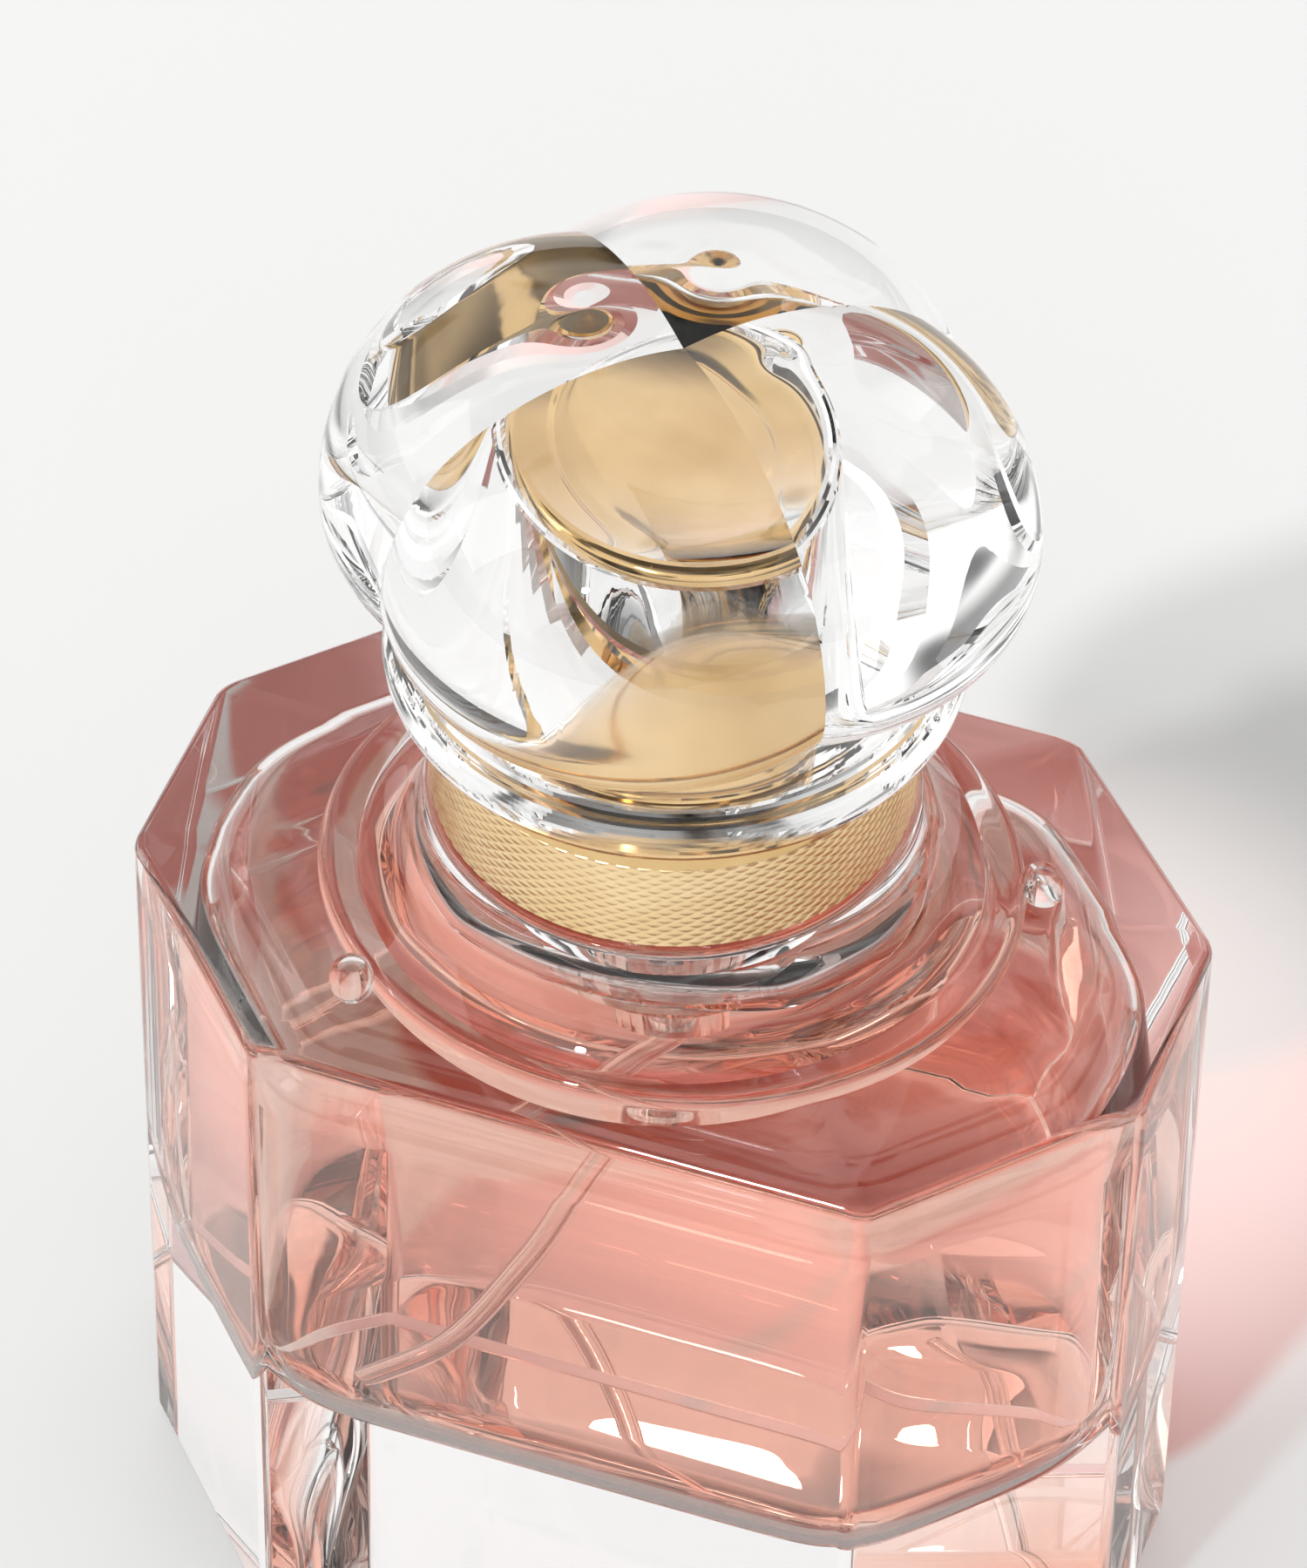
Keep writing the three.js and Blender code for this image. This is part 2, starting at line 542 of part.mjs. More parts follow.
// The gold cup seen inside the crystal, with a flange at its open end.
function capSleeve() {
  const { wall, round } = SLEEVE;
  const roofZ = sleeveTopZ - wall;
  const flangeRadius = sleeveRadius + SLEEVE.flange;
  const flangeTop = sleeveZ + SLEEVE.flangeThickness;
  return turned([
    [sleeveBore, sleeveZ], [flangeRadius, sleeveZ], [flangeRadius, flangeTop], [sleeveRadius, flangeTop],
    ...arc([sleeveRadius - round, sleeveTopZ - round], [round, round], 0, 90, 2),
    [0, sleeveTopZ], [0, roofZ], [sleeveBore - wall / 2, roofZ], [sleeveBore, roofZ - wall / 2],
  ]);
}

function capLiner() {
  const bottomZ = sleeveZ + FIT.stack;
  return turned([
    [linerBore, bottomZ], [linerRadius, bottomZ], [linerRadius, linerTopZ - LINER.chamfer],
    [linerRadius - LINER.chamfer, linerTopZ], [0, linerTopZ], [0, linerCeilingZ], [linerBore, linerCeilingZ],
  ]);
}

// ---------------------------------------------------------------- assembly
const bottle = new THREE.Group();
const flacon = new THREE.Group();
const pump = new THREE.Group();
const sprayHead = new THREE.Group();
const cap = new THREE.Group();
bottle.add(flacon, pump, sprayHead, cap);

function addPiece(group, name, geometry, finish, z = 0) {
  const piece = new THREE.Mesh(welded(geometry), new THREE.MeshStandardMaterial(FINISH[finish]));
  piece.name = name;
  piece.position.z = z;
  group.add(piece);
}

addPiece(flacon, "glass_bottle", glassBottle(), "glass");
addPiece(flacon, "perfume_liquid", perfume(), "perfume");

const stem = ring(STEM.bore, STEM.radius, 0, stemTopZ - stemBottomZ, SEGMENTS.small);
addPiece(pump, "dip_tube", tubeAlong(TUBE.radius, TUBE.bore, tubePath()), "clearPlastic");
addPiece(pump, "pump_housing", pumpHousing(), "clearPlastic");
addPiece(pump, "inlet_ball", ball(BALL.radius), "steel", ballZ);
addPiece(pump, "return_spring", returnSpring(), "steel");
addPiece(pump, "piston", piston(), "whitePlastic");
addPiece(pump, "stem", stem, "whitePlastic", stemBottomZ);
addPiece(pump, "stem_seal", ring(guideRadius - FIT.stack, bossRadius, 0, PUMP.seal), "rubber", sealZ);
addPiece(pump, "closure_bush", closureBush(), "whitePlastic");
addPiece(pump, "neck_gasket", ring(NECK.boreRadius, pumpFlangeRadius, 0, PUMP.gasket), "rubber", gasketZ);
addPiece(pump, "crimp_ferrule", crimpFerrule(), "aluminium");
addPiece(pump, "cap_seat", capSeat(), "whitePlastic");
addPiece(pump, "collar_ring", collarRing(), "satinGold");

addPiece(sprayHead, "spray_head_shell", headShell(), "polishedGold");
addPiece(sprayHead, "spray_head_core", headCore(), "whitePlastic");
addPiece(sprayHead, "nozzle_insert", nozzleInsert(), "whitePlastic");

addPiece(cap, "cap_liner", capLiner(), "whitePlastic");
addPiece(cap, "cap_sleeve", capSleeve(), "polishedGold");
addPiece(cap, "cap_crystal", capCrystal(), "crystal");

export default bottle;
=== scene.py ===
import math

import bpy
import numpy as np
from mathutils import Matrix, Vector


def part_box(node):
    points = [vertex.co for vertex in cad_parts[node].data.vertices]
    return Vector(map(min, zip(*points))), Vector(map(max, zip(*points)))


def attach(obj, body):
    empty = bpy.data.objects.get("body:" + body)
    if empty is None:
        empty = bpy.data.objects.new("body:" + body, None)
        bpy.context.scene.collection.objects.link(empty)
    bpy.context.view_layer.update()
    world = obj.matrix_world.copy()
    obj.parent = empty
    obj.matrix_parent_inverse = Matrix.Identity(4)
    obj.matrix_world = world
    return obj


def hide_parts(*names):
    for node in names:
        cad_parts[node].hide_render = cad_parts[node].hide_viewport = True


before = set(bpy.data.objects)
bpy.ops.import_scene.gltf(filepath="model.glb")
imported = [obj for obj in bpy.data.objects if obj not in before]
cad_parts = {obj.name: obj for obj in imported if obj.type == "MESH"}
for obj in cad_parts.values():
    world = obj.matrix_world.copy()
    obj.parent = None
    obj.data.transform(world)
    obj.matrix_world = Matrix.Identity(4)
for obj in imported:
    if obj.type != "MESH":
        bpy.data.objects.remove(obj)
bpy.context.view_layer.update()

MM = 0.001
TAU = 2 * math.pi


# ---------------------------------------------------------------- sizes, in millimetres
def span(node):
    """A CAD node's lowest and highest corners, in millimetres."""
    low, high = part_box(node)
    return [c / MM for c in low], [c / MM for c in high]


_, GLASS_HIGH = span("glass_bottle")
COLLAR_LOW, COLLAR_HIGH = span("collar_ring")
SLEEVE_LOW, SLEEVE_HIGH = span("cap_sleeve")
CRYSTAL_LOW, CRYSTAL_HIGH = span("cap_crystal")
HEAD_LOW, HEAD_HIGH = span("spray_head_shell")
PUMP_LOW, _ = span("pump_housing")
_, TUBE_HIGH = span("dip_tube")

BODY = {"half_width": GLASS_HIGH[0], "half_depth": GLASS_HIGH[1], "rim": 54.0, "crown_rise": 6.0}
BODY["front_half"] = 19.75  # half the length of the wide front face
BODY["side_half"] = 7.4  # half the length of the narrow end face
BODY["edge_round"] = 0.75
HOLLOW = {
    "floor": 16.4, "foot_round": 7.5, "brow_round": 6.0, "brow": 45.6, "throat": 4.9, "throat_z": 56.3,
}
WALLS = {"front": 4.1, "end": 3.7, "cant": 3.9}
DISC = {"half_width": 22.1, "half_depth": 20.1, "top": 57.0, "lip": 1.0, "dish": 0.35}
NECK = {"foot": 18.2, "radius": 15.3, "ledge": COLLAR_LOW[2] - 0.2}
FINISH_BEAD = {"radius": 7.5, "under": 6.5, "height": 2.2}
BEAD = {"radius": 1.4, "stretch": 1.25, "outside": 0.9, "rise": 0.8, "angles": (-133.5, 15.5)}
LIQUID = {"level": 55.2, "into_glass": 0.1, "gap": 0.3}
PUMP = {"barrel": 4.4, "nipple": 1.9, "nipple_length": 3.4, "shoulder": 5.9}
CAP = {
    "offset": 6.0, "lobe": 15.75, "apex": CRYSTAL_HIGH[2], "widest": 86.6, "underside": 82.7,
    "under_width": 3.6, "under_height": 4.5, "power": 0.86, "peak": 0.5,
    "waist": 16.1, "rim": 17.7, "rim_low": CRYSTAL_LOW[2] + 0.9, "rim_height": 2.8, "rim_bulge": 0.9,
    "crease_degrees": 7, "foot": 15.4, "bore": 8.5, "bore_top": SLEEVE_HIGH[2] + 0.3,
}
SLEEVE = {"radius": 8.2, "bore": 7.65, "round": 1.0, "flange": SLEEVE_HIGH[0], "flange_height": 0.4}
COLLAR = {"radius": COLLAR_HIGH[0], "wall": 0.75, "lip": 1.15, "plate": 0.45, "opening": 7.2}


# ---------------------------------------------------------------- mesh helpers
def arc(centre, reach, start, end, steps):
    """Points [radius, height] on an elliptical arc, its angles in degrees from +radius."""
    angles = np.radians(np.linspace(start, end, steps + 1))
    return [[centre[0] + reach[0] * math.cos(a), centre[1] + reach[1] * math.sin(a)] for a in angles]


def new_object(name, vertices, faces, sharp_degrees=38):
    """A smooth-shaded object from points in millimetres, its faces turned outwards."""
    points = np.array(vertices, dtype=float) * MM
    volume = 0.0
    for face in faces:
        a, b, c = points[face[0]], points[face[1]], points[face[2]]
        volume += float(np.dot(a, np.cross(b, c)))
        if len(face) == 4:
            volume += float(np.dot(a, np.cross(c, points[face[3]])))
    if volume < 0:
        faces = [face[::-1] for face in faces]
    mesh = bpy.data.meshes.new(name)
    mesh.from_pydata([tuple(p) for p in points], [], faces)
    shade(mesh, sharp_degrees)
    obj = bpy.data.objects.new(name, mesh)
    bpy.context.scene.collection.objects.link(obj)
    return obj


def shade(mesh, sharp_degrees):
    mesh.shade_smooth()
    mesh.set_sharp_from_angle(angle=math.radians(sharp_degrees))


def loft(name, rows, closed=False, sharp_degrees=38):
    """Skin rows of points. A row of one point closes the skin to a tip; closed joins last to first."""
    vertices, starts = [], []
    for row in rows:
        starts.append(len(vertices))
        vertices.extend(row)
    faces = []
    pairs = list(zip(range(len(rows)), range(1, len(rows))))
    if closed:
        pairs.append((len(rows) - 1, 0))
    for low, high in pairs:
        a, b, n = starts[low], starts[high], max(len(rows[low]), len(rows[high]))
        if n == 1:
            continue
        for i in range(n):
            j = (i + 1) % n
            if len(rows[low]) == 1:
                faces.append([a, b + j, b + i])
            elif len(rows[high]) == 1:
                faces.append([a + i, a + j, b])
            else:
                faces.append([a + i, a + j, b + j, b + i])
    return new_object(name, vertices, faces, sharp_degrees)


def circle_row(radius, height, segments, stretch=(1.0, 1.0), centre=(0.0, 0.0)):
    if radius < 1e-6:
        return [(centre[0], centre[1], height)]
    turn = [TAU * i / segments for i in range(segments)]
    return [
        (centre[0] + radius * math.cos(t) * stretch[0], centre[1] + radius * math.sin(t) * stretch[1], height)
        for t in turn
    ]


def lathe(name, profile, segments=128, stretch=(1.0, 1.0), centre=(0.0, 0.0), sharp_degrees=38):
    """A profile of [radius, height] turned about Z; it ends on the axis or closes on itself."""
    rows = [circle_row(r, z, segments, stretch, centre) for r, z in profile]
    closed = profile[0][0] > 1e-6
    return loft(name, rows, closed, sharp_degrees)


def combine(obj, steps, sharp_degrees=38):
    """Join or cut obj with other solids, which are used up, and keep flat faces flat."""
    for operation, other in steps:
        cut = obj.modifiers.new(operation, "BOOLEAN")
        cut.operation = operation
        cut.object = other
        cut.solver = "EXACT"
    bpy.context.view_layer.update()
    graph = bpy.context.evaluated_depsgraph_get()
    mesh = bpy.data.meshes.new_from_object(obj.evaluated_get(graph))
    obj.modifiers.clear()
    obj.data = mesh
    for _, other in steps:
        bpy.data.objects.remove(other)
    shade(mesh, sharp_degrees)
    return obj


def apply_modifiers(obj):
    bpy.context.view_layer.update()
    graph = bpy.context.evaluated_depsgraph_get()
    mesh = bpy.data.meshes.new_from_object(obj.evaluated_get(graph))
    obj.modifiers.clear()
    obj.data = mesh


def weigh_normals(obj):
    """Flat faces keep flat shading beside their rounded edges."""
    weigh = obj.modifiers.new("weigh", "WEIGHTED_NORMAL")
    weigh.keep_sharp = True
    apply_modifiers(obj)


def dress(obj, body, material, slot, *nodes):
    """Material and body of a piece, and the CAD nodes it stands for; slot is not used."""
    obj.data.materials.clear()
    obj.data.materials.append(material)
    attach(obj, body)
    if nodes:
        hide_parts(*nodes)


# ---------------------------------------------------------------- material helpers
def principled(name, colour, **sockets):
    material = bpy.data.materials.new(name)
    material.use_nodes = True
    shader = material.node_tree.nodes["Principled BSDF"]
    shader.inputs["Base Color"].default_value = (*colour, 1.0)
    for socket, value in sockets.items():
        shader.inputs[socket.replace("_", " ")].default_value = value
    return material, shader


def noise(tree, scale, detail=3.0, stretch=(1.0, 1.0, 1.0)):
    """Noise in object space; stretch below 1 along an axis draws it out into streaks."""
    where = tree.nodes.new("ShaderNodeTexCoord")
    squeeze = tree.nodes.new("ShaderNodeMapping")
    squeeze.inputs["Scale"].default_value = stretch
    pattern = tree.nodes.new("ShaderNodeTexNoise")
    pattern.inputs["Scale"].default_value = scale
    pattern.inputs["Detail"].default_value = detail
    tree.links.new(where.outputs["Object"], squeeze.inputs["Vector"])
    tree.links.new(squeeze.outputs["Vector"], pattern.inputs["Vector"])
    return pattern.outputs["Fac"]


def spread(tree, value, low, high):
    """Map a 0 to 1 pattern onto low to high."""
    mapping = tree.nodes.new("ShaderNodeMapRange")
    mapping.inputs["From Min"].default_value = 0.3
    mapping.inputs["From Max"].default_value = 0.7
    mapping.inputs["To Min"].default_value = low
    mapping.inputs["To Max"].default_value = high
    tree.links.new(value, mapping.inputs["Value"])
    return mapping.outputs["Result"]


def relief(tree, shader, value, depth, strength=1.0):
    bump = tree.nodes.new("ShaderNodeBump")
    bump.inputs["Distance"].default_value = depth
    bump.inputs["Strength"].default_value = strength
    tree.links.new(value, bump.inputs["Height"])
    tree.links.new(bump.outputs["Normal"], shader.inputs["Normal"])


def tint(tree, shader, value, dark, light):
    ramp = tree.nodes.new("ShaderNodeValToRGB")
    ramp.color_ramp.elements[0].position = 0.3
    ramp.color_ramp.elements[0].color = (*dark, 1.0)
    ramp.color_ramp.elements[1].position = 0.7
    ramp.color_ramp.elements[1].color = (*light, 1.0)
    tree.links.new(value, ramp.inputs["Fac"])
    tree.links.new(ramp.outputs["Color"], shader.inputs["Base Color"])


def let_light_through(material, shader, colour):
    """Light reaches what is behind clear glass as a tinted shadow instead of a black one."""
    tree = material.node_tree
    output = tree.nodes["Material Output"]
    rays = tree.nodes.new("ShaderNodeLightPath")
    clear = tree.nodes.new("ShaderNodeBsdfTransparent")
    clear.inputs["Color"].default_value = (*colour, 1.0)
    mix = tree.nodes.new("ShaderNodeMixShader")
    tree.links.new(rays.outputs["Is Shadow Ray"], mix.inputs["Fac"])
    tree.links.new(shader.outputs["BSDF"], mix.inputs[1])
    tree.links.new(clear.outputs["BSDF"], mix.inputs[2])
    tree.links.new(mix.outputs["Shader"], output.inputs["Surface"])


# ---------------------------------------------------------------- materials
def bottle_glass():
    material, shader = principled(
        "bottle_glass", (0.985, 0.985, 0.985), Roughness=0.0, IOR=1.5, Transmission_Weight=1.0)
    tree = material.node_tree
    relief(tree, shader, noise(tree, 55, 1.0), 0.00012, 0.35)
    let_light_through(material, shader, (0.9, 0.85, 0.83))
    return material


def crystal_glass():
    material, shader = principled(
        "cap_crystal", (0.995, 0.995, 0.995), Roughness=0.0, IOR=1.5, Transmission_Weight=1.0)
    tree = material.node_tree
    relief(tree, shader, noise(tree, 70, 1.0), 0.0001, 0.3)
    let_light_through(material, shader, (0.7, 0.7, 0.69))
    return material


def perfume():
    material, shader = principled(
        "perfume", (1.0, 1.0, 1.0), Roughness=0.0, IOR=1.36, Transmission_Weight=1.0)
    tree = material.node_tree
    absorb = tree.nodes.new("ShaderNodeVolumeAbsorption")
    absorb.inputs["Color"].default_value = (0.98, 0.66, 0.53, 1.0)
    absorb.inputs["Density"].default_value = 44.0
    tree.links.new(absorb.outputs["Volume"], tree.nodes["Material Output"].inputs["Volume"])
    let_light_through(material, shader, (0.97, 0.38, 0.26))
    return material


def gold(name, roughness, streaks, depth, dark, light):
    """Pale gold plate; streaks stretches its fine grain along the brushing."""
    material, shader = principled(name, light, Metallic=1.0)
    tree = material.node_tree
    grain = noise(tree, 900, 4.0, streaks)
    tint(tree, shader, noise(tree, 160, 2.0), dark, light)
    tree.links.new(spread(tree, grain, roughness * 0.75, roughness * 1.25), shader.inputs["Roughness"])
    relief(tree, shader, grain, depth)
    return material


def plastic(name, dark, light, roughness, transmission=0.0):
    material, shader = principled(name, light, IOR=1.49, Transmission_Weight=transmission)
    tree = material.node_tree
    grain = noise(tree, 1400, 3.0)
    tint(tree, shader, noise(tree, 220, 2.0), dark, light)
    tree.links.new(spread(tree, grain, roughness * 0.8, roughness * 1.2), shader.inputs["Roughness"])
    relief(tree, shader, grain, 0.00001)
    return material


def metal(name, dark, light, roughness):
    material, shader = principled(name, light, Metallic=1.0)
    tree = material.node_tree
    grain = noise(tree, 1100, 3.0, (1.0, 1.0, 0.15))
    tint(tree, shader, noise(tree, 300, 2.0), dark, light)
    tree.links.new(spread(tree, grain, roughness * 0.8, roughness * 1.25), shader.inputs["Roughness"])
    relief(tree, shader, grain, 0.000008)
    return material


def floor_paper():
    material, shader = principled("floor_paper", (0.83, 0.83, 0.825), Roughness=0.7)
    tree = material.node_tree
    tint(tree, shader, noise(tree, 6, 3.0), (0.82, 0.82, 0.815), (0.84, 0.84, 0.835))
    return material


EVEN_GRAIN = (1.0, 1.0, 1.0)
UPRIGHT_GRAIN = (1.0, 1.0, 0.03)
GLASS = bottle_glass()
CRYSTAL = crystal_glass()
PERFUME = perfume()
SATIN_GOLD = gold("satin_gold", 0.34, EVEN_GRAIN, 0.000004, (0.86, 0.62, 0.32), (0.98, 0.75, 0.44))
POLISHED_GOLD = gold("polished_gold", 0.08, UPRIGHT_GRAIN, 0.000006, (0.68, 0.43, 0.17), (0.88, 0.63, 0.32))
CLEAR_PLASTIC = plastic("clear_plastic", (0.96, 0.95, 0.94), (0.99, 0.99, 0.985), 0.08, 1.0)
WHITE_PLASTIC = plastic("white_plastic", (0.82, 0.81, 0.79), (0.88, 0.87, 0.85), 0.4)
SEAL_RUBBER = plastic("rubber", (0.58, 0.56, 0.54), (0.66, 0.64, 0.61), 0.65)
STEEL = metal("steel", (0.5, 0.51, 0.53), (0.62, 0.63, 0.65), 0.2)
ALUMINIUM = metal("aluminium", (0.62, 0.62, 0.62), (0.74, 0.74, 0.73), 0.32)


# ---------------------------------------------------------------- flacon
def octagon_faces():
    """Direction and distance of the normal of each upright face, with its wall."""
    x, y = BODY["half_width"], BODY["half_depth"]
    cant = math.atan2(x - BODY["front_half"], y - BODY["side_half"])
    reach = x * math.cos(cant) + BODY["side_half"] * math.sin(cant)
    half = [
        (0.0, x, "end"), (cant, reach, "cant"), (math.pi / 2, y, "front"), (math.pi - cant, reach, "cant"),
    ]
    return half + [(angle + math.pi, distance, wall) for angle, distance, wall in half]


def octagon_corners(scale=1.0):
    x, y = BODY["half_width"] * scale, BODY["half_depth"] * scale
    fx, sy = BODY["front_half"] * scale, BODY["side_half"] * scale
    return [(x, -sy), (x, sy), (fx, y), (-fx, y), (-x, sy), (-x, -sy), (-fx, -y), (fx, -y)]


def flacon_block():
    """The octagonal block with its low crown, its edges rounded."""
    inner = 0.25  # share of the plan where the crown is cut off, inside the neck
    rows = [
        [(x, y, 0.0) for x, y in octagon_corners()],
        [(x, y, BODY["rim"]) for x, y in octagon_corners()],
        [(x, y, BODY["rim"] + BODY["crown_rise"] * (1 - inner)) for x, y in octagon_corners(inner)],
    ]
    vertices = [point for row in rows for point in row]
    faces = [list(range(8))[::-1], list(range(16, 24))]
    for base in (0, 8):
        faces += [[base + i, base + (i + 1) % 8, base + 8 + (i + 1) % 8, base + 8 + i] for i in range(8)]
    block = new_object("glass_bottle_fine", vertices, faces)
    bevel = block.modifiers.new("round", "BEVEL")
    bevel.width = BODY["edge_round"] * MM
    bevel.segments = 5
    bevel.limit_method = "ANGLE"
    bevel.angle_limit = math.radians(4)
    apply_modifiers(block)
    return block


def disc():
    lip, top, edge = DISC["lip"], DISC["top"], DISC["half_width"]
    profile = [[0, BODY["rim"] - 1], [edge, BODY["rim"] - 1], [edge, top - lip * 1.2]]
    profile += arc((edge - lip, top - lip), (lip, lip), 0, 90, 10)
    profile += arc((edge - lip, top - DISC["dish"]), (lip * 1.6, DISC["dish"]), 95, 178, 8)
    profile += [[14, top - DISC["dish"] * 0.6], [0, top]]
    return lathe("disc", profile, 256, (1.0, DISC["half_depth"] / DISC["half_width"]))


def neck():
    flare = NECK["foot"] - NECK["radius"] + 1.4
    foot, top = DISC["top"] - DISC["dish"] - 0.1, NECK["ledge"]
    steps = np.linspace(0, 1, 25)[:-1]
    flank = [[NECK["radius"] + flare * (1 - t) ** 2.9, foot + (top - foot) * t] for t in steps]
    bead_z = GLASS_HIGH[2] - FINISH_BEAD["height"]
    profile = [[0, BODY["rim"] - 1], [flank[0][0], BODY["rim"] - 1]] + flank
    profile += arc((NECK["radius"] - 0.5, top - 0.5), (0.5, 0.5), 0, 90, 4)
    profile += [[FINISH_BEAD["under"], top], [FINISH_BEAD["under"], bead_z]]
    profile += arc((FINISH_BEAD["radius"] - 0.5, bead_z + 0.5), (0.5, 0.5), -90, 0, 3)
    profile += arc((FINISH_BEAD["radius"] - 0.5, GLASS_HIGH[2] - 0.5), (0.5, 0.5), 0, 90, 3)
    profile += [[0, GLASS_HIGH[2]]]
    return lathe("neck", profile, 192)


def moulded_bead(angle):
    direction = math.radians(angle)
    across, along = math.cos(direction) / DISC["half_width"], math.sin(direction) / DISC["half_depth"]
    edge = 1 / math.hypot(across, along)
    away = edge + BEAD["outside"]
    centre = (away * math.cos(direction), away * math.sin(direction))
    middle = DISC["top"] - BEAD["radius"] + BEAD["rise"]
    tall = BEAD["radius"] * BEAD["stretch"]
    profile = [[0, middle - tall]]
    profile += arc((0, middle), (BEAD["radius"], tall), -80, 80, 16)
    profile += [[0, middle + tall]]
    return lathe("bead", profile, 40, centre=centre)


PLAN_STEPS = 240
PLAN_POWER = 22  # how sharp the corners of the hollow's rounded octagon are
DOME_POWER = 0.9  # how soon the hollow's dome levels out


def plan_row(inset, height):
    """The hollow's plan: the octagon inside the walls with soft corners, moved in by inset."""
    row = []
    for i in range(PLAN_STEPS):
        t = TAU * i / PLAN_STEPS
        pull = 0.0
        for angle, distance, wall in octagon_faces():
            facing = max(0.0, math.cos(t - angle))
            pull += (facing / (distance - WALLS[wall] - inset)) ** PLAN_POWER
        radius = pull ** (-1 / PLAN_POWER)
        row.append((radius * math.cos(t), radius * math.sin(t), height))
    return row


def hollow_rows(grow, top):
    """Rows of the hollow from its floor up, larger all round by grow, as high as top."""
    foot, brow, floor = HOLLOW["foot_round"], HOLLOW["brow_round"], HOLLOW["floor"]
    rows = [[(0.0, 0.0, floor - grow)]]
    rows.append(plan_row(foot * 2, floor - grow))
    for a in np.radians(np.linspace(-90, 0, 14)):
        reach = foot + grow
        rows.append(plan_row(foot - reach * math.cos(a), floor + foot + reach * math.sin(a)))
    for a in np.radians(np.linspace(0, 58, 11)):
        reach = brow + grow
        rows.append(plan_row(brow - reach * math.cos(a), HOLLOW["brow"] + reach * math.sin(a)))
    brim = rows[-1]
    brim_z = brim[0][2]
    throat = HOLLOW["throat"] + grow
    for share in np.linspace(0, 1, 22)[1:]:
        height = brim_z + (HOLLOW["throat_z"] - brim_z) * math.sin(share * math.pi / 2) ** DOME_POWER
        blend = share ** 3
        row = []
        for i, (x, y, _) in enumerate(brim):
            radius = math.hypot(x, y)
            shrink = (radius * (1 - share) + throat * share) / radius
            t = TAU * i / PLAN_STEPS
            row.append((
                x * shrink * (1 - blend) + throat * math.cos(t) * blend,
                y * shrink * (1 - blend) + throat * math.sin(t) * blend,
                height,
            ))
        if height + grow > top:
            break
        rows.append([(x, y, z + grow) for x, y, z in row])
    last = rows[-1]
    rows.append([(x, y, top) for x, y, _ in last])
    rows.append([(0.0, 0.0, top)])
    return rows


def build_flacon():
    cavity = loft("cavity", hollow_rows(0.0, GLASS_HIGH[2] + 1))
    steps = [("UNION", disc()), ("UNION", neck())]
    steps += [("UNION", moulded_bead(angle)) for angle in BEAD["angles"]]
    steps.append(("DIFFERENCE", cavity))
    glass = combine(flacon_block(), steps)
    weigh_normals(glass)
    dress(glass, "root", GLASS, "bottle_glass", "glass_bottle")


def build_perfume():
    liquid = loft("perfume_fine", hollow_rows(LIQUID["into_glass"], LIQUID["level"]))
    gap = LIQUID["gap"]
    barrel, nipple = PUMP["barrel"] + gap, PUMP["nipple"] + gap
    low = PUMP_LOW[2] - gap
    channel = lathe("channel", [
        [0, low], [nipple, low], [nipple, low + PUMP["nipple_length"]], [barrel, low + PUMP["shoulder"]],
        [barrel, GLASS_HIGH[2]], [0, GLASS_HIGH[2]],
    ], 96)
    combine(liquid, [("DIFFERENCE", channel)])
    dress(liquid, "root", PERFUME, "perfume", "perfume_liquid")


# ---------------------------------------------------------------- dip tube
TUBE = {"radius": 0.8, "bore": 0.45, "reach": 18.0, "heading": math.radians(212), "end_gap": 1.9}
TUBE["curl"] = [(0, 0), (0.02, 0.07), (0.1, 0.2), (0.21, 0.39), (0.36, 0.58), (0.64, 0.85), (1, 1)]


def smooth_route(points, steps):
    """Catmull-Rom curve through the points."""
    ends = [points[0] * 2 - points[1]] + points + [points[-1] * 2 - points[-2]]
    route = []
    for k in range(len(points) - 1):
        p0, p1, p2, p3 = ends[k:k + 4]
        for i in range(steps):
            t = i / steps
            route.append(0.5 * (2 * p1 + (p2 - p0) * t + (2 * p0 - 5 * p1 + 4 * p2 - p3) * t * t
                                + (3 * p1 - p0 - 3 * p2 + p3) * t ** 3))
    route.append(points[-1])
    return route


def build_dip_tube():
    heading = Vector((math.cos(TUBE["heading"]), math.sin(TUBE["heading"]), 0))
    curl_z = PUMP_LOW[2] - TUBE["radius"]
    end_z = HOLLOW["floor"] + TUBE["end_gap"]
    points = [Vector((0, 0, TUBE_HIGH[2])), Vector((0, 0, curl_z + 2))]
    for out, down in TUBE["curl"]:
        points.append(heading * out * TUBE["reach"] + Vector((0, 0, curl_z - down * (curl_z - end_z))))
    route = smooth_route(points, 8)
    side = Vector((-heading.y, heading.x, 0))
    outer, inner = [], []
    for i, point in enumerate(route):
        along = (route[min(i + 1, len(route) - 1)] - route[max(i - 1, 0)]).normalized()
        up = along.cross(side).normalized()
        for rows, radius in ((outer, TUBE["radius"]), (inner, TUBE["bore"])):
            rows.append([tuple(point + side * radius * math.cos(t) + up * radius * math.sin(t))
                         for t in np.linspace(0, TAU, 24, endpoint=False)])
    tube = loft("dip_tube_fine", outer + inner[::-1], closed=True)
    dress(tube, "root", CLEAR_PLASTIC, "clear_plastic", "dip_tube")


# ---------------------------------------------------------------- collar
RHOMBS = {"around": 72, "rows": 9, "depth": 0.06, "tilt": 0.05, "per_rhomb": 10}


